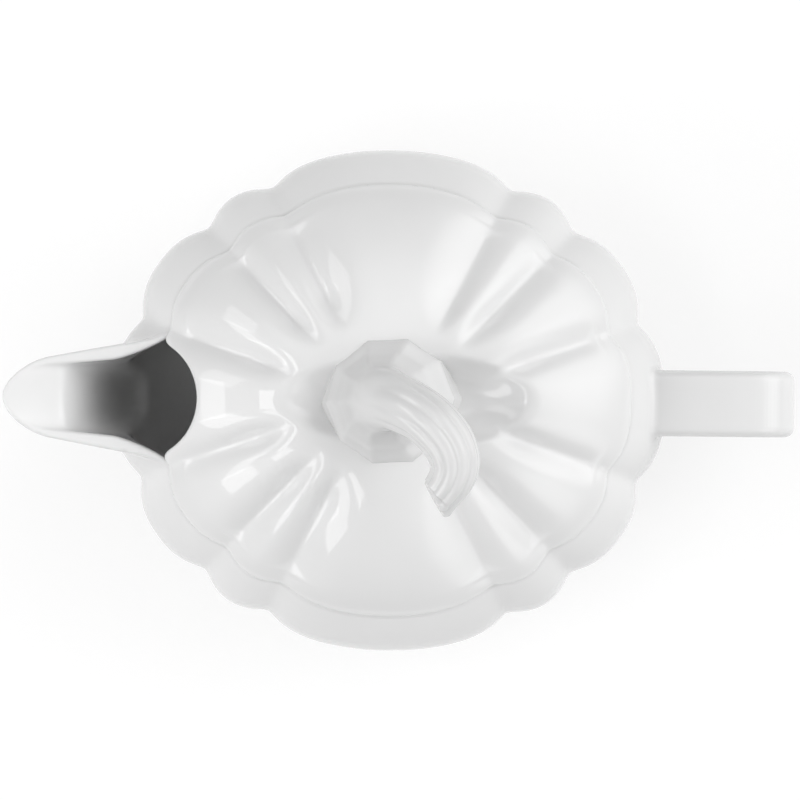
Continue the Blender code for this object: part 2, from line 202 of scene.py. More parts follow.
# Rings of the end: their size as a share of its edge, and how far they lie behind its plane
STEM_END_SHAPE = (
    (1.00, 0.0015),
    (0.98, 0.0008),
    (0.93, 0.0003),
    (0.85, 0.0000),
    (0.70, 0.0000),
    (0.40, 0.0004),
    (0.20, 0.0005),
)

# How softly glaze rounds a joint or an edge
SPOUT_JOINT = 0.0030
HANDLE_JOINT = 0.0022
FOOT_JOINT = 0.003
CHANNEL_JOINT = 0.0016
RIM_ROUND = 0.0012
LID_EDGE_ROUND = 0.0012
NOTCH_CORNER_ROUND = 0.0040
COLLAR_JOINT = 0.002

# How far out from the belly the spout and the handle are parted from the bowl
SPOUT_PART_OUT = 0.002
HANDLE_PART_OUT = 0.004

# Mesh: the cells of its grids, the room left round a casting, and the steps between two points of a path
BOWL_CELL = 0.0010
SPOUT_CELL = 0.0005
HANDLE_CELL = 0.0007
LID_CELL = 0.0007
MARGIN = 0.003
PATH_STEPS = 10
# How a field is measured and its surface found
FIELD_STEP = 0.00005
PLAN_ROUNDS = 6
SETTLE_ROUNDS = 4
LEAST_STEEPNESS = 0.05
# The field's direction is kept where its cosine to the mesh's own is above this
FOLD_LIMIT = 0.92
# How near to a cut a point counts as on it, while cutting and while closing
CUT_TOLERANCE = 1e-7
EDGE_TOLERANCE = 1e-5
# Corners of a cell, and its edges as a corner and an axis
CELL_CORNERS = [(i, j, k) for i in (0, 1) for j in (0, 1) for k in (0, 1)]
CELL_EDGES = [(corner, axis) for corner in CELL_CORNERS for axis in range(3) if not corner[axis]]
# Distance at which a spout or handle no longer changes the bowl's skin
FAR = 2 * SPOUT_JOINT
# Keeps divisors above zero
TINY = 1e-9
# The least half width of the plan's inner outlines, and the least radius round the axis
CORE = 0.0005

# Glaze and clay: tones, noise and bumps
GLAZE_TONES = (0.80, 0.84)
# Painted shade: the stem has the same white glaze as the rest, in darker tones that stand in for shade on
# the stem
STEM_PAINTED_SHADE_TONES = (0.72, 0.76)
GLAZE_ROUGHNESS = 0.04
CLOUD_SCALE = 18.0
CLOUD_DETAIL = 3.0
CLOUD_EDGES = (0.3, 0.7)
RIPPLE_SCALE = 60.0
RIPPLE_DETAIL = 2.0
RIPPLE_STRENGTH = 0.04
RIPPLE_DISTANCE = 0.0005
BISCUIT_COLOURS = ((0.66, 0.63, 0.58), (0.80, 0.78, 0.74))
BISCUIT_ROUGHNESS = 0.75
GRAIN_SCALE = 900.0
GRAIN_DETAIL = 4.0
GRAIN_EDGES = (0.0, 1.0)
GRAIN_STRENGTH = 0.3
GRAIN_DISTANCE = 0.0003

# Floor
FLOOR_HALF = 3.0
FLOOR_COLOUR = (0.65, 0.65, 0.65, 1.0)
FLOOR_GLOW = 0.67
FLOOR_SHADE = (0.35, 0.35, 0.35, 1.0)

# Softboxes: name, bearing and rise in degrees, width, height and brightness
SOFTBOX_DISTANCE = 1.2
SOFTBOXES = (
    ("left_low", 182, 36, 0.65, 0.26, 2.3),
    ("left_low_front", 213, 37, 0.58, 0.38, 2.5),
    ("left_low_back", 152, 37, 0.58, 0.38, 1.6),
    ("left_high", 182, 64, 0.35, 0.20, 3.2),
    ("left_high_front", 222, 62, 0.34, 0.24, 2.8),
)

# Soft daylight of the studio: bearing, rise, the angles from there between which it fades, and brightness
GLOWS = (
    (0, 30, 4, 24, 0.4),
    (30, 28, 4, 40, 2.2),
    (55, 15, 4, 24, 0.4),
    (322, 30, 4, 28, 1.3),
    (345, 25, 5, 60, 0.5),
    (195, 30, 5, 55, 0.8),
    (225, 30, 5, 50, 0.2),
    (90, 60, 5, 30, 0.7),
    (270, 80, 5, 70, 0.2),
)
# Strength of the backdrop to the camera, and the colour of it and of the glows
BACKDROP_STRENGTH = 1.0
WHITE = (1.0, 1.0, 1.0, 1.0)

# Camera: its height, its turn in degrees and its sensor in millimetres
CAMERA_HEIGHT = 1.1
CAMERA_ROLL = 0.6
SENSOR_WIDTH = 36.0
# The photo: its size, its scale and the pixel of the pumpkin's axis
FRAME_PIXELS = 800
PIXELS_PER_RADIAN = 4011.0
AXIS_PIXEL = (389.5, 400.5)

# The upper wall is part of an ellipse that rises to DOME_RISE above the belly
RIM_TURN = math.acos(1 - RIM_INSET / HALF_WIDTH)
DOME_RISE = (RIM_HEIGHT - BELLY_HEIGHT) / math.sin(RIM_TURN)
INNER_HALF = HALF_WIDTH - WALL
MOUTH_INSET = RIM_INSET + RIM_WIDTH
MOUTH_TURN = math.acos(1 - (MOUTH_INSET - WALL) / INNER_HALF)
INNER_RISE = (RIM_HEIGHT - BELLY_HEIGHT) / math.sin(MOUTH_TURN)

# Places that follow from the sizes above
SPOUT_REACH = SPOUT_TIP - HALF_LENGTH
SPOUT_LENGTH = SPOUT_REACH + SPOUT_ROOT
BOAT_TOP = RIM_HEIGHT + SPOUT_RISE
HANDLE_REACH = HANDLE_END - HALF_LENGTH
LID_RIM_INSET = RIM_INSET - LID_OVERHANG
LID_HALF_LENGTH = HALF_LENGTH - LID_RIM_INSET
LID_HALF_WIDTH = HALF_WIDTH - LID_RIM_INSET
STEM_SEAT_INSET = HALF_WIDTH - STEM_BASE_RADIUS - STEM_SEAT_MARGIN
COLLAR_INSET = MOUTH_INSET + COLLAR_CLEARANCE
NOTCH_X = -(HALF_LENGTH - RIM_INSET - NOTCH_DEPTH + NOTCH_RADIUS)

# Planes that part the castings: distances from the pumpkin's axis or heights, places and ways to face
SPOUT_PART = HALF_LENGTH + SPOUT_PART_OUT
HANDLE_PART = HALF_LENGTH + HANDLE_PART_OUT
FOOT_PART = FOOT_HEIGHT - JOINT_GAP
SPOUT_CUT = (AXIS_X - SPOUT_PART, 0, 0)
HANDLE_CUT = (AXIS_X + HANDLE_PART, 0, 0)
FOOT_CUT = (0, 0, FOOT_PART)
COLLAR_CUT = (0, 0, RIM_HEIGHT)
TO_SPOUT = (-1, 0, 0)
TO_HANDLE = (1, 0, 0)
UP = (0, 0, 1)
DOWN = (0, 0, -1)


# Shaping functions


def smooth_step(share):
    share = np.clip(share, 0.0, 1.0)
    return share * share * (3 - 2 * share)


def soft_step(share):
    """A smooth step that also starts and ends without a change of curvature."""
    share = np.clip(share, 0.0, 1.0)
    return share**3 * (share * (6 * share - 15) + 10)


def smooth_max(one, other, width):
    """The larger of two fields, rounded where they are about equal."""
    near = np.maximum(width - np.abs(one - other), 0.0) / width
    return np.maximum(one, other) + near * near * width / 4


def smooth_min(one, other, width):
    return -smooth_max(-one, -other, width)


def rounded_edge(one, other, radius):
    """Distance to where two distances are both below zero, with the edge between them rounded."""
    one = one + radius
    other = other + radius
    outside = np.hypot(np.maximum(one, 0.0), np.maximum(other, 0.0))
    return outside + np.minimum(np.maximum(one, other), 0.0) - radius


def oval_distance(out, up, half_out, half_up):
    """About how far points lie outside an ellipse with these half axes."""
    a = out / half_out
    b = up / half_up
    size = np.sqrt(a * a + b * b) + TINY
    steepness = np.sqrt((a / half_out) ** 2 + (b / half_up) ** 2) / size + TINY
    return (size - 1) / steepness


def line_distance(x, z, line):
    """Distance to a line of points in the XZ plane."""
    nearest = np.full(x.shape, np.inf)
    for (start_x, start_z), (end_x, end_z) in zip(line, line[1:]):
        run_x = end_x - start_x
        run_z = end_z - start_z
        along = ((x - start_x) * run_x + (z - start_z) * run_z) / (run_x**2 + run_z**2)
        along = np.clip(along, 0.0, 1.0)
        distance = np.hypot(x - start_x - along * run_x, z - start_z - along * run_z)
        nearest = np.minimum(nearest, distance)
    return nearest


def field_slopes(field, x, y, z):
    """The field at points, and how fast it grows there along each axis."""
    here = field(x, y, z)
    slopes = [
        field(x + FIELD_STEP, y, z) - here,
        field(x, y + FIELD_STEP, z) - here,
        field(x, y, z + FIELD_STEP) - here,
    ]
    return here, np.stack(slopes, 1) / FIELD_STEP


def evened(field, x, y, z):
    """The field divided by its own steepness, so that it grows by about a metre in a metre."""
    here, slopes = field_slopes(field, x, y, z)
    return here / np.maximum(np.linalg.norm(slopes, axis=1), TINY)


def only_where(mask, field, x, y, z):
    """The field where it matters, and FAR elsewhere."""
    values = np.full(mask.shape, FAR)
    values[mask] = field(x[mask], y[mask], z[mask])
    return values


def curve_value(t, before, start, end, after):
    slope_in = (end - before) / 2
    slope_out = (after - start) / 2
    cubic = 2 * (start - end) + slope_in + slope_out
    square = 3 * (end - start) - 2 * slope_in - slope_out
    return ((cubic * t + square) * t + slope_in) * t + start


def smooth_path(points, steps):
    """Points on a smooth curve through the given ones."""
    ends = np.array([points[0], *points, points[-1]], dtype=float)
    path = []
    for before, start, end, after in zip(ends, ends[1:], ends[2:], ends[3:]):
        path += [curve_value(step / steps, before, start, end, after) for step in range(steps)]
    return np.array(path + [ends[-1]])


def plan_place(x, y):
    """How far points lie inside the belly's outline in plan, and their angle round it."""
    inset = HALF_WIDTH * (1 - np.hypot(x / HALF_LENGTH, y / HALF_WIDTH))
    for _ in range(PLAN_ROUNDS):
        inset = np.minimum(inset, HALF_WIDTH - CORE)
        along = HALF_LENGTH - inset
        across = HALF_WIDTH - inset
        miss = (x / along) ** 2 + (y / across) ** 2 - 1
        slope = 2 * ((x / along) ** 2 / along + (y / across) ** 2 / across) + TINY
        inset = inset - miss / slope
    inset = np.minimum(inset, HALF_WIDTH - CORE)
    turn = np.arctan2(y / (HALF_WIDTH - inset), x / (HALF_LENGTH - inset))
    return inset, turn


def groove_share(inset, turn, powers, rounding):
    """1 in a groove and 0 on a full lobe's crest, with a rounded bottom to each groove."""
    folded = np.degrees(np.arccos(np.clip(np.abs(np.cos(turn)), 0.0, 1.0)))
    radius = np.maximum((HALF_LENGTH + HALF_WIDTH) / 2 - inset, CORE)
    first, second, third = QUARTER_GROOVES
    edges = (-first, first, second, third, 180 - third)
    shares = np.zeros_like(turn)
    for start, end, power in zip(edges, edges[1:], powers):
        half = (end - start) / 2
        away = 1 - np.abs(folded - (start + end) / 2) / half
        soft = rounding / (math.radians(half) * radius)
        rise = (np.sqrt(away * away + soft * soft) - soft) / (np.sqrt(1 + soft * soft) - soft)
        height = min(1.0, math.sqrt(2 * half / FULL_LOBE))
        lobe = 1 - height * (1 - np.abs(1 - rise) ** power)
        shares = np.where((folded >= start) & (folded < end), lobe, shares)
    return shares


# Boat, with x measured from the pumpkin's axis


def climb(z):
    """0 up to the belly's widest height and 1 at the rim."""
    return np.clip((z - BELLY_HEIGHT) / (RIM_HEIGHT - BELLY_HEIGHT), 0.0, 1.0)


def groove_depth(z, drop):
    """Depth of the bowl's grooves: none at this drop below the belly, most at the belly, less at the rim."""
    sinking = np.clip((z - BELLY_HEIGHT) / drop, -1.0, 0.0)
    return GROOVE_BELLY * np.sqrt(1 - sinking**2) + (GROOVE_RIM - GROOVE_BELLY) * climb(z)


def bowl_outside(inset, groove, z):
    up = z - BELLY_HEIGHT
    drop = BELLY_HEIGHT - FOOT_HEIGHT
    inset = inset - groove_depth(z, drop) * groove
    upper = oval_distance(HALF_WIDTH - inset, up, HALF_WIDTH, DOME_RISE)
    lower = oval_distance(np.maximum(FOOT_INSET - inset, 0.0), up, FOOT_INSET, drop)
    return np.where(up > 0, upper, lower)


def bowl_cavity(inset, groove, z):
    up = z - BELLY_HEIGHT
    drop = BELLY_HEIGHT - FOOT_HEIGHT - FLOOR
    inset = inset - GROOVE_INSIDE * groove_depth(z, drop) * groove
    upper = oval_distance(HALF_WIDTH - inset, up, INNER_HALF, INNER_RISE)
    lower = oval_distance(np.maximum(FLOOR_INSET - inset, 0.0), up, FLOOR_INSET - WALL, drop)
    return np.where(up > 0, upper, lower)


def foot(inset, z):
    wide = np.abs(inset - FOOT_INSET - FOOT_WIDTH / 2) - FOOT_WIDTH / 2
    high = np.abs(z - FOOT_HEIGHT) - FOOT_HEIGHT
    return rounded_edge(wide, high, FOOT_EDGE)


def spout_rim(back):
    """Height of the rim, which climbs from the bowl's rim to the spout's lip."""
    return RIM_HEIGHT + SPOUT_RISE * np.maximum(1 - back / SPOUT_LENGTH, 0.0) ** 2


def u_channel(back, y, z, nose_half, nose_length, spread, depth):
    """Field of a channel with a round nose in plan and a U-shaped section, open upwards."""
    width = nose_half + np.maximum(spread * back, 0.0)
    across = np.hypot(np.maximum(1 - back / nose_length, 0.0), y / width)
    down = np.maximum(spout_rim(back) - z, 0.0) / depth
    return (across**SPOUT_POWER + down**SPOUT_POWER + TINY) ** (1 / SPOUT_POWER) - 1


def channel_depth(back):
    """Depth of the channel's floor below the rim: shallow by the lip, then down into the bowl."""
    plunge = CHANNEL_PLUNGE * soft_step((back - PLUNGE_START) / PLUNGE_LENGTH)
    return CHANNEL_LIP_DEPTH + CHANNEL_FALL * np.maximum(back, 0.0) + plunge


def spout_outside(x, y, z):
    back = x + SPOUT_TIP
    depth = channel_depth(back) + SPOUT_KEEL + SPOUT_FLOOR * smooth_step(back / SPOUT_REACH)
    return u_channel(back, y, z, SPOUT_NOSE_HALF, SPOUT_NOSE_LENGTH, SPOUT_SPREAD, depth)


def spout_channel(x, y, z):
    back = x + SPOUT_TIP - CHANNEL_START
    inward = np.maximum((back - SPOUT_REACH) / SPOUT_ROOT, 0.0)
    flare = CHANNEL_FLARE * inward**CHANNEL_FLARE_POWER
    narrowed = np.sign(y) * np.maximum(np.abs(y) - flare, 0.0)
    depth = channel_depth(back)
    return u_channel(back, narrowed, z, CHANNEL_NOSE_HALF, CHANNEL_NOSE_LENGTH, CHANNEL_SPREAD, depth)


def spout_distance(shape, x, y, z):
    """Distance to the spout's outside or to its channel, which both stop at the spout's root."""
    past_root = x + HALF_LENGTH - SPOUT_ROOT
    distance = only_where(past_root < FAR, partial(evened, shape), x, y, z)
    return np.maximum(distance, past_root)


def handle_line():
    """Middle line of the strap, as rows of x and z."""
    reach = HANDLE_REACH - HANDLE_THICKNESS / 2
    height = HANDLE_TOP - HANDLE_THICKNESS / 2 - HANDLE_BOTTOM
    return np.array([HALF_LENGTH, HANDLE_BOTTOM]) + smooth_path(HANDLE_PATH, PATH_STEPS) * [reach, height]


def strap(x, y, z):
    """Distance to a flat strap with rounded edges, bent along the handle's line."""
    thick = line_distance(x, z, handle_line()) - HANDLE_THICKNESS / 2
    wide = np.abs(y) - HANDLE_WIDTH / 2
    return rounded_edge(thick, wide, HANDLE_CORNER)


def boat_field(x, y, z):
    """Distance to the boat: the bowl with its spout, handle and foot, hollow and open at the top."""
    inset, turn = plan_place(x, y)
    rounding = GROOVE_BELLY_ROUND + (GROOVE_RIM_ROUND - GROOVE_BELLY_ROUND) * climb(z)
    groove = groove_share(inset, turn, LOBE_POWERS, rounding)
    spout = spout_distance(spout_outside, x, y, z)
    channel = spout_distance(spout_channel, x, y, z)
    handle = only_where(x > HALF_LENGTH / 2, strap, x, y, z)
    outer = smooth_min(bowl_outside(inset, groove, z), spout, SPOUT_JOINT)
    outer = smooth_min(outer, handle, HANDLE_JOINT)
    outer = smooth_min(outer, foot(inset, z), FOOT_JOINT)
    inner = smooth_min(bowl_cavity(inset, groove, z), channel, CHANNEL_JOINT)
    solid = smooth_max(outer, -inner, RIM_ROUND)
    return smooth_max(solid, z - spout_rim(x + SPOUT_TIP), RIM_ROUND)


# Lid, with x measured from the pumpkin's axis


def lid_dome(inset):
    """Height of the pumpkin's own dome over the rim."""
    across = np.clip(1 - inset / HALF_WIDTH, 0.0, 1.0)
    return BELLY_HEIGHT + DOME_RISE * np.sqrt(1 - across * across) - RIM_HEIGHT + LID_EDGE


def lid_lean(inset):
    """How much longer the dome is than its plan, going inwards."""
    slope = (lid_dome(inset + FIELD_STEP) - lid_dome(inset - FIELD_STEP)) / (2 * FIELD_STEP)
    return np.sqrt(1 + slope * slope)


def dimple(x, y):
    """How far the lid lies below the dome: a dish round the stem, and an oval dimple with a ridge."""
    size = np.hypot((x - DIMPLE_SHIFT) / DIMPLE_ALONG, y / DIMPLE_ACROSS)
    funnel = smooth_min(DIMPLE_SLOPE * DIMPLE_ACROSS * (1 - size), DIMPLE_DEPTH, DIMPLE_HOLLOW)
    dish = DISH_DEPTH * np.exp(-(x * x + y * y) / DISH_RADIUS**2)
    return smooth_max(funnel, dish, DIMPLE_RIDGE)


def collar(inset, up, ceiling, notch):
    """The locating rim: a ring under the lid's ceiling that is open at the notch."""
    ring = np.abs(inset - COLLAR_INSET - COLLAR_WALL / 2) - COLLAR_WALL / 2
    ring = smooth_max(ring, -COLLAR_DEPTH - up, LID_EDGE_ROUND)
    ring = smooth_max(ring, up - ceiling - COLLAR_JOINT, LID_EDGE_ROUND)
    return smooth_max(ring, notch + COLLAR_NOTCH_MARGIN, LID_EDGE_ROUND)


def lid_field(x, y, z):
    """Distance to the lid: a hollow dome with grooves, a dimple, a notch and the locating rim."""
    inset, turn = plan_place(x, y)
    groove = groove_share(inset, turn, LOBE_POWERS_LID, GROOVE_LID_ROUND)
    up = z - RIM_HEIGHT
    inward = smooth_step((inset - LID_RIM_INSET) / RIM_INSET)
    fade = smooth_step((STEM_SEAT_INSET - inset) / GROOVE_LID_FADE)
    drawn = inset - GROOVE_RIM * (1 - inward) * groove
    drop = GROOVE_LID * inward * fade * groove
    lean = lid_lean(drawn)
    top = lid_dome(drawn) - dimple(x, y)
    ceiling = np.maximum(top - LID_WALL * lean - GROOVE_INSIDE * drop, LID_EDGE)
    notch = NOTCH_RADIUS - np.hypot(x - NOTCH_X, y)
    side = smooth_max(LID_RIM_INSET + GROOVE_RIM * groove - inset, notch, NOTCH_CORNER_ROUND)
    solid = smooth_max((up - top + drop) / lean, side, LID_EDGE_ROUND)
    solid = smooth_max(solid, JOINT_GAP - up, LID_EDGE_ROUND / 2)
    hollow = smooth_max((up - ceiling) / lean, MOUTH_INSET - drawn, COLLAR_JOINT)
    solid = smooth_max(solid, -hollow, LID_EDGE_ROUND / 2)
    return smooth_min(solid, collar(drawn, up, ceiling, notch), COLLAR_JOINT)


# Meshing


def grid_values(field, low, high, cell):
    """The field at the corners of the cells that fill a box."""
    axes = [a + cell * np.arange(math.ceil((b - a) / cell) + 1) for a, b in zip(low, high)]
    x, y, z = np.meshgrid(*axes, indexing="ij")
    return field(x.ravel(), y.ravel(), z.ravel()).reshape(x.shape)


def crossed_cells(solid):
    """Which cells have corners both inside the solid and outside it."""
    rows, columns, layers = (count - 1 for count in solid.shape)
    filled = np.zeros((rows, columns, layers), dtype=int)
    for i, j, k in CELL_CORNERS:
        filled += solid[i : i + rows, j : j + columns, k : k + layers]
    return (filled > 0) & (filled < len(CELL_CORNERS))


def cell_points(values, cells):
    """For each cell, the middle of the places where the surface crosses its edges, counted in cells."""
    total = np.zeros((len(cells), 3))
    hits = np.zeros(len(cells))
    for start, axis in CELL_EDGES:
        step = np.eye(3, dtype=int)[axis]
        a = values[tuple((cells + start).T)]
        b = values[tuple((cells + start + step).T)]
        cross = (a < 0) != (b < 0)
        share = np.where(cross, a / np.where(cross, a - b, 1.0), 0.0)
        total += (np.array(start) + share[:, None] * step) * cross[:, None]
        hits += cross
    return cells + total / hits[:, None]


def axis_faces(solid, number, axis):
    """Faces round the grid's edges along one axis that the surface crosses, turned to face outwards."""
    one, two = [k for k in range(3) if k != axis]
    inner = [slice(1, count - 1) for count in solid.shape]
    inner[axis] = slice(0, solid.shape[axis] - 1)
    ahead = list(inner)
    ahead[axis] = slice(1, solid.shape[axis])
    edges = np.argwhere(solid[tuple(inner)] != solid[tuple(ahead)])
    edges += [int(k != axis) for k in range(3)]
    around = []
    for step_one, step_two in ((-1, -1), (0, -1), (0, 0), (-1, 0)):
        shift = np.zeros(3, dtype=int)
        shift[one] = step_one
        shift[two] = step_two
        around.append(number[tuple((edges + shift).T)])
    quads = np.stack(around, 1)
    # Seen along y, the other two axes turn the other way round
    backward = solid[tuple(edges.T)] == (axis == 1)
    quads[backward] = quads[backward][:, ::-1]
    return quads


def laid_mesh(field, low, high, cell):
    """Points and four-sided faces on the field's surface: one point in each cell that it crosses."""
    values = grid_values(field, low, high, cell)
    solid = values < 0
    crossed = crossed_cells(solid)
    number = np.full(crossed.shape, -1)
    number[crossed] = np.arange(crossed.sum())
    points = np.array(low) + cell * cell_points(values, np.argwhere(crossed))
    return points, np.concatenate([axis_faces(solid, number, axis) for axis in range(3)])


def settled(field, points, cell):
    """The points moved on to the field's surface, and its outward directions there."""
    start = points
    for _ in range(SETTLE_ROUNDS):
        here, slope = field_slopes(field, *points.T)
        steep = np.maximum((slope * slope).sum(1), LEAST_STEEPNESS)
        points = points - slope * np.clip(here / steep, -cell / 2, cell / 2)[:, None]
    strayed = np.linalg.norm(points - start, axis=1) > cell
    points[strayed] = start[strayed]
    _, slope = field_slopes(field, *points.T)
    return points, slope / np.maximum(np.linalg.norm(slope, axis=1), TINY)[:, None]


def fair_normals(mesh, normals):
    """The field's directions, or the mesh's own where the field has a fold."""
    own = np.zeros(len(mesh.vertices) * 3)
    mesh.vertex_normals.foreach_get("vector", own)
    own = own.reshape(-1, 3)
    agree = (own * normals).sum(1) > FOLD_LIMIT * np.linalg.norm(normals, axis=1)
    return np.where(agree[:, None], normals, own)


def on_plane(edge, place, away):
    offsets = [(vert.co - Vector(place)).dot(Vector(away)) for vert in edge.verts]
    return max(abs(offset) for offset in offsets) < EDGE_TOLERANCE


def part_off(mesh, cuts):
    """Leaves out what lies beyond each cut and closes the mesh there with flat faces."""
    shape = bmesh.new()
    shape.from_mesh(mesh)
    for place, away in cuts:
        bmesh.ops.bisect_plane(
            shape,
            geom=shape.verts[:] + shape.edges[:] + shape.faces[:],
            plane_co=place,
            plane_no=away,
            dist=CUT_TOLERANCE,
            clear_outer=True,
        )
        edges = [edge for edge in shape.edges if edge.is_boundary and on_plane(edge, place, away)]
        bmesh.ops.triangle_fill(shape, edges=edges, use_beauty=True)
    bmesh.ops.recalc_face_normals(shape, faces=shape.faces)
    for face in shape.faces:
        face.smooth = True
    shape.to_mesh(mesh)
    shape.free()


def casting(name, field, low, high, cell, cuts):
    """Mesh of the part of a skin between cuts, with the field's own directions as its normals.

    Each cut is a place and the way to the rest of the skin, which is left out.
    """
    points, faces = laid_mesh(field, low, high, cell)
    points, normals = settled(field, points, cell)
    points[:, 0] += AXIS_X
    mesh = bpy.data.meshes.new(name)
    mesh.from_pydata(points.tolist(), [], faces.tolist())
    outward = mesh.attributes.new("outward", "FLOAT_VECTOR", "POINT")
    outward.data.foreach_set("vector", fair_normals(mesh, normals).ravel())
    part_off(mesh, cuts)
    normals = np.zeros(len(mesh.vertices) * 3)
    mesh.attributes["outward"].data.foreach_get("vector", normals)
    mesh.attributes.remove(mesh.attributes["outward"])
    mesh.normals_split_custom_set_from_vertices(normals.reshape(-1, 3))
    return mesh


# Materials


def add_node(tree, kind, **inputs):
    node = tree.nodes.new(kind)
    for name, value in inputs.items():
        node.inputs[name].default_value = value
    return node


def add_noise(tree, scale, detail):
    """Socket of a noise that is fixed to the piece."""
    place = tree.nodes.new("ShaderNodeTexCoord")
    noise = add_node(tree, "ShaderNodeTexNoise", Scale=scale, Detail=detail)
    tree.links.new(place.outputs["Object"], noise.inputs["Vector"])
    return noise.outputs["Fac"]


def add_tones(tree, noise, edges, colours):
    """Colours the material from one colour to the other as the noise goes between the edges."""
    ramp = tree.nodes.new("ShaderNodeValToRGB")
    for element, edge, colour in zip(ramp.color_ramp.elements, edges, colours):
        element.position = edge
        element.color = (*colour, 1.0)
    tree.links.new(noise, ramp.inputs["Fac"])
    tree.links.new(ramp.outputs["Color"], tree.nodes["Principled BSDF"].inputs["Base Color"])


def add_bumps(tree, noise, strength, distance):
    bump = add_node(tree, "ShaderNodeBump", Strength=strength, Distance=distance)
    tree.links.new(noise, bump.inputs["Height"])
    tree.links.new(bump.outputs["Normal"], tree.nodes["Principled BSDF"].inputs["Normal"])


def glaze(name, tones):
    """White porcelain glaze: slightly uneven in tone, with a faint ripple where it has run."""
    material = bpy.data.materials.new(name)
    material.use_nodes = True
    tree = material.node_tree
    tree.nodes["Principled BSDF"].inputs["Roughness"].default_value = GLAZE_ROUGHNESS
    cloud = add_noise(tree, CLOUD_SCALE, CLOUD_DETAIL)
    add_tones(tree, cloud, CLOUD_EDGES, [(tone, tone, tone) for tone in tones])
    ripple = add_noise(tree, RIPPLE_SCALE, RIPPLE_DETAIL)
    add_bumps(tree, ripple, RIPPLE_STRENGTH, RIPPLE_DISTANCE)
    return material


def biscuit():
    """Bare fired clay on the foot: matte and fine-grained."""
    material = bpy.data.materials.new("bare_biscuit")
    material.use_nodes = True
    tree = material.node_tree
    tree.nodes["Principled BSDF"].inputs["Roughness"].default_value = BISCUIT_ROUGHNESS
    grain = add_noise(tree, GRAIN_SCALE, GRAIN_DETAIL)
    add_tones(tree, grain, GRAIN_EDGES, BISCUIT_COLOURS)
    add_bumps(tree, grain, GRAIN_STRENGTH, GRAIN_DISTANCE)
    return material


# Pieces of the boat


def add_piece(mesh, material, body):
    mesh.materials.append(material)
    piece = bpy.data.objects.new(mesh.name, mesh)
    bpy.context.scene.collection.objects.link(piece)
    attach(piece, body)
    return piece


def bowl_mesh():
    side = HALF_WIDTH + MARGIN
    low = (-SPOUT_PART - MARGIN, -side, FOOT_PART - MARGIN)
    high = (HANDLE_PART + MARGIN, side, BOAT_TOP + MARGIN)
    cuts = [(SPOUT_CUT, TO_SPOUT), (HANDLE_CUT, TO_HANDLE), (FOOT_CUT, DOWN)]
    return casting("glazed_bowl", boat_field, low, high, BOWL_CELL, cuts)


def foot_mesh():
    low = (-HALF_LENGTH, -HALF_WIDTH, -MARGIN)
    high = (HALF_LENGTH, HALF_WIDTH, FOOT_PART + MARGIN)
    return casting("bare_foot_ring", boat_field, low, high, BOWL_CELL, [(FOOT_CUT, UP)])


def spout_mesh():
    low = (-SPOUT_TIP - MARGIN, SPOUT_LOW[1] - 2 * MARGIN, SPOUT_LOW[2] - 2 * MARGIN)
    high = (-SPOUT_PART + MARGIN, SPOUT_HIGH[1] + 2 * MARGIN, BOAT_TOP + MARGIN)
    return casting("glazed_spout", boat_field, low, high, SPOUT_CELL, [(SPOUT_CUT, TO_HANDLE)])


def handle_mesh():
    low = (HANDLE_PART - MARGIN, -HANDLE_WIDTH, HANDLE_LOW[2] - MARGIN)
    high = (HANDLE_END + MARGIN, HANDLE_WIDTH, HANDLE_HIGH[2] + MARGIN)
    return casting("glazed_handle", boat_field, low, high, HANDLE_CELL, [(HANDLE_CUT, TO_SPOUT)])


def add_boat(white, bare):
    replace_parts(add_piece(bowl_mesh(), white, "boat"), "bowl")
    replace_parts(add_piece(foot_mesh(), bare, "boat"), "foot_ring")
    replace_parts(add_piece(spout_mesh(), white, "boat"), "pouring_spout")
    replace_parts(add_piece(handle_mesh(), white, "boat"), "strap_handle")


# Pieces of the lid


def dome_mesh():
    along = LID_HALF_LENGTH + MARGIN
    across = LID_HALF_WIDTH + MARGIN
    low = (-along, -across, RIM_HEIGHT - MARGIN)
    high = (along, across, STEM_HIGH[2])
    return casting("glazed_lid", lid_field, low, high, LID_CELL, [(COLLAR_CUT, DOWN)])


def collar_mesh():
    along = LID_HALF_LENGTH + MARGIN
    across = LID_HALF_WIDTH + MARGIN
    low = (-along, -across, RIM_HEIGHT - COLLAR_DEPTH - MARGIN)
    high = (along, across, RIM_HEIGHT + MARGIN)
    return casting("glazed_lid_rim", lid_field, low, high, LID_CELL, [(COLLAR_CUT, UP)])


def stem_frames(line, radii):
    """The direction and the sideways direction of each ring: upright in the flare, then along the line."""
    runs = np.gradient(line, axis=0)
    turn = math.radians(STEM_FACET_TURN)
    side = Vector((math.cos(turn), math.sin(turn), 0.0))
    before = Vector(UP)
    frames = []
    for run, radius in zip(runs, radii):
        share = (radius - STEM_LEANING_RADIUS) / (STEM_UPRIGHT_RADIUS - STEM_LEANING_RADIUS)
        upright = float(smooth_step(share))
        along = Vector(run).normalized().lerp(Vector(UP), upright).normalized()
        side = before.rotation_difference(along) @ side
        before = along
        frames.append((along, side.copy()))
    return frames


def stem_profile(row):
    """How far out each point of a ring lies: flat facets on the base, rounded flutes on the arm."""
    across = np.arange(STEM_FACETS * STEM_FACET_STEPS) / STEM_FACET_STEPS % 1.0 * 2 - 1
    start, end = STEM_FACETS_END
    facets = STEM_FACET_DEPTH * (1 - smooth_step((row - start) / (end - start)))
    start, end = STEM_FLUTES_START
    flutes = STEM_FLUTE_DEPTH * smooth_step((row - start) / (end - start))
    return 1 - facets * (1 - across * across) - flutes * across * across


def stem_end(last, heading, place, away):
    """Rings from the arm's last one to the slanted end, which is rounded and slightly hollow."""
    ahead = (place - last) @ away / np.dot(heading, away)
    edge = last + heading * ahead[:, None]
    middle = edge.mean(axis=0)
    return [middle + (edge - middle) * size - away * back for size, back in STEM_END_SHAPE]


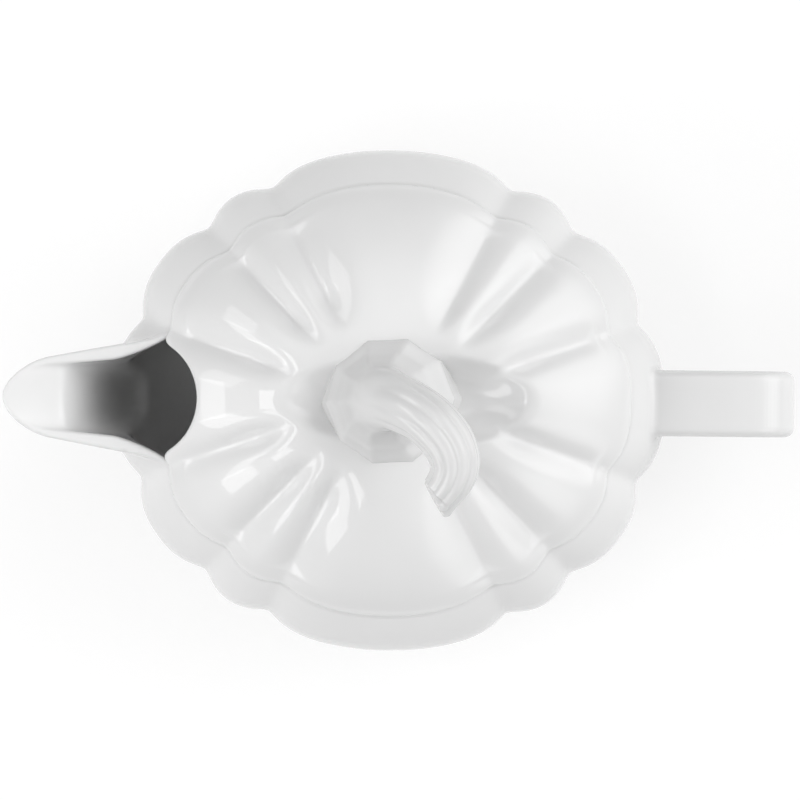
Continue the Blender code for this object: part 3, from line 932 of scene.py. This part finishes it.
def stem_rings():
    """Rings of points from the base up and over to the end."""
    table = smooth_path(STEM_RINGS, PATH_STEPS)
    count = STEM_FACETS * STEM_FACET_STEPS
    turns = np.arange(count) * 2 * math.pi / count
    place = np.array(STEM_END)
    away = np.array(Vector(STEM_END_DIRECTION).normalized())
    rings = []
    for k, (along, side) in enumerate(stem_frames(table[:, :3], table[:, 3])):
        row = k / PATH_STEPS
        centre = table[k, :3]
        if row > STEM_FLUTES_START[1] and np.dot(centre - place, away) > -STEM_END_MARGIN:
            break
        ring = np.outer(np.cos(turns), side) + np.outer(np.sin(turns), along.cross(side))
        rings.append(centre + table[k, 3] * stem_profile(row)[:, None] * ring)
        heading = np.array(along)
    return rings + stem_end(rings[-1], heading, place, away)


def stem_mesh():
    rings = stem_rings()
    seat = np.array((AXIS_X, 0.0, RIM_HEIGHT + STEM_SEAT))
    count = len(rings[0])
    points = np.concatenate(rings) + seat
    faces = []
    for start in range(0, len(points) - count, count):
        for k in range(count):
            ahead = (k + 1) % count
            faces.append((start + k, start + ahead, start + count + ahead, start + count + k))
    faces.append(tuple(reversed(range(count))))
    faces.append(tuple(range(len(points) - count, len(points))))
    mesh = bpy.data.meshes.new("glazed_stem")
    mesh.from_pydata(points.tolist(), [], faces)
    mesh.polygons.foreach_set("use_smooth", [True] * len(mesh.polygons))
    return mesh


def add_lid(white, shaded):
    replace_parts(add_piece(dome_mesh(), white, "lid"), "lid_dome")
    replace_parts(add_piece(collar_mesh(), white, "lid"), "lid_locating_rim")
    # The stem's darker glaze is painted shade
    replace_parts(add_piece(stem_mesh(), shaded, "lid"), "stem_knob")


# Stage, light and camera


def pale_floor():
    """To the camera and in reflections a white that keeps the shadow, and to other light a pale grey."""
    material = bpy.data.materials.new("pale_floor")
    material.use_nodes = True
    tree = material.node_tree
    tree.nodes.remove(tree.nodes["Principled BSDF"])
    lit = add_node(tree, "ShaderNodeBsdfDiffuse", Color=FLOOR_COLOUR)
    shade = add_node(tree, "ShaderNodeBsdfDiffuse", Color=FLOOR_SHADE)
    glow = add_node(tree, "ShaderNodeEmission", Strength=FLOOR_GLOW)
    white = tree.nodes.new("ShaderNodeAddShader")
    path = tree.nodes.new("ShaderNodeLightPath")
    seen = tree.nodes.new("ShaderNodeMath")
    seen.operation = "MAXIMUM"
    mix = tree.nodes.new("ShaderNodeMixShader")
    tree.links.new(shade.outputs["BSDF"], white.inputs[0])
    tree.links.new(glow.outputs["Emission"], white.inputs[1])
    tree.links.new(path.outputs["Is Camera Ray"], seen.inputs[0])
    tree.links.new(path.outputs["Is Glossy Ray"], seen.inputs[1])
    tree.links.new(seen.outputs["Value"], mix.inputs["Fac"])
    tree.links.new(lit.outputs["BSDF"], mix.inputs[1])
    tree.links.new(white.outputs["Shader"], mix.inputs[2])
    tree.links.new(mix.outputs["Shader"], tree.nodes["Material Output"].inputs["Surface"])
    return material


def add_floor():
    mesh = bpy.data.meshes.new("floor")
    corners = [(-1, -1), (1, -1), (1, 1), (-1, 1)]
    mesh.from_pydata([(FLOOR_HALF * x, FLOOR_HALF * y, 0) for x, y in corners], [], [(0, 1, 2, 3)])
    floor = bpy.data.objects.new("floor", mesh)
    bpy.context.scene.collection.objects.link(floor)
    mesh.materials.append(pale_floor())


def direction(bearing, rise):
    """Unit vector by its bearing round the boat, from the handle, and its rise above it in degrees."""
    turn = math.radians(bearing)
    up = math.radians(rise)
    return Vector((math.cos(up) * math.cos(turn), math.cos(up) * math.sin(turn), math.sin(up)))


def add_softbox(name, bearing, rise, width, height, brightness):
    """Lamp that faces the boat, with the power that makes its face this bright."""
    light = bpy.data.lights.new(name, "AREA")
    light.shape = "RECTANGLE"
    light.size = width
    light.size_y = height
    light.energy = brightness * math.pi * width * height
    away = direction(bearing, rise)
    lamp = bpy.data.objects.new(name, light)
    lamp.location = Vector((0.0, 0.0, RIM_HEIGHT)) + away * SOFTBOX_DISTANCE
    lamp.rotation_euler = (-away).to_track_quat("-Z", "Y").to_euler()
    bpy.context.scene.collection.objects.link(lamp)


def add_glow(tree, view, bearing, rise, inner, outer, brightness):
    """Socket of the strength of one soft glow of the studio, for each direction of view."""
    towards = tree.nodes.new("ShaderNodeVectorMath")
    towards.operation = "DOT_PRODUCT"
    towards.inputs[1].default_value = direction(bearing, rise)
    level = tree.nodes.new("ShaderNodeMapRange")
    level.interpolation_type = "SMOOTHSTEP"
    level.inputs["From Min"].default_value = math.cos(math.radians(outer))
    level.inputs["From Max"].default_value = math.cos(math.radians(inner))
    level.inputs["To Max"].default_value = brightness
    tree.links.new(view.outputs["Generated"], towards.inputs[0])
    tree.links.new(towards.outputs["Value"], level.inputs["Value"])
    return level.outputs["Result"]


def add_studio():
    """World that lights the boat with the glows, and looks white to the camera."""
    world = bpy.data.worlds.new("studio")
    world.use_nodes = True
    tree = world.node_tree
    view = tree.nodes.new("ShaderNodeTexCoord")
    path = tree.nodes.new("ShaderNodeLightPath")
    seen = add_node(tree, "ShaderNodeMix", B=BACKDROP_STRENGTH)
    total, *others = [add_glow(tree, view, *glow) for glow in GLOWS]
    for glow in others:
        both = tree.nodes.new("ShaderNodeMath")
        tree.links.new(total, both.inputs[0])
        tree.links.new(glow, both.inputs[1])
        total = both.outputs["Value"]
    background = tree.nodes["Background"]
    background.inputs["Color"].default_value = WHITE
    tree.links.new(path.outputs["Is Camera Ray"], seen.inputs["Factor"])
    tree.links.new(total, seen.inputs["A"])
    tree.links.new(seen.outputs["Result"], background.inputs["Strength"])
    bpy.context.scene.world = world


def add_camera():
    """Straight overhead, with the spout to the left."""
    camera = bpy.data.cameras.new("camera")
    camera.sensor_width = SENSOR_WIDTH
    camera.lens = SENSOR_WIDTH * PIXELS_PER_RADIAN / FRAME_PIXELS
    thing = bpy.data.objects.new("camera", camera)
    scale = (CAMERA_HEIGHT - BELLY_HEIGHT) / PIXELS_PER_RADIAN
    right = (FRAME_PIXELS / 2 - AXIS_PIXEL[0]) * scale
    up = (AXIS_PIXEL[1] - FRAME_PIXELS / 2) * scale
    thing.location = (AXIS_X + right, up, CAMERA_HEIGHT)
    thing.rotation_euler = (0.0, 0.0, math.radians(CAMERA_ROLL))
    bpy.context.scene.collection.objects.link(thing)
    bpy.context.scene.camera = thing


def main():
    bpy.context.scene.view_settings.view_transform = "Standard"
    white = glaze("white_glaze", GLAZE_TONES)
    add_boat(white, biscuit())
    # The stem gets a darker copy of the white glaze: painted shade
    add_lid(white, glaze("stem_painted_shade_glaze", STEM_PAINTED_SHADE_TONES))
    add_floor()
    for softbox in SOFTBOXES:
        add_softbox(*softbox)
    add_studio()
    add_camera()


main()
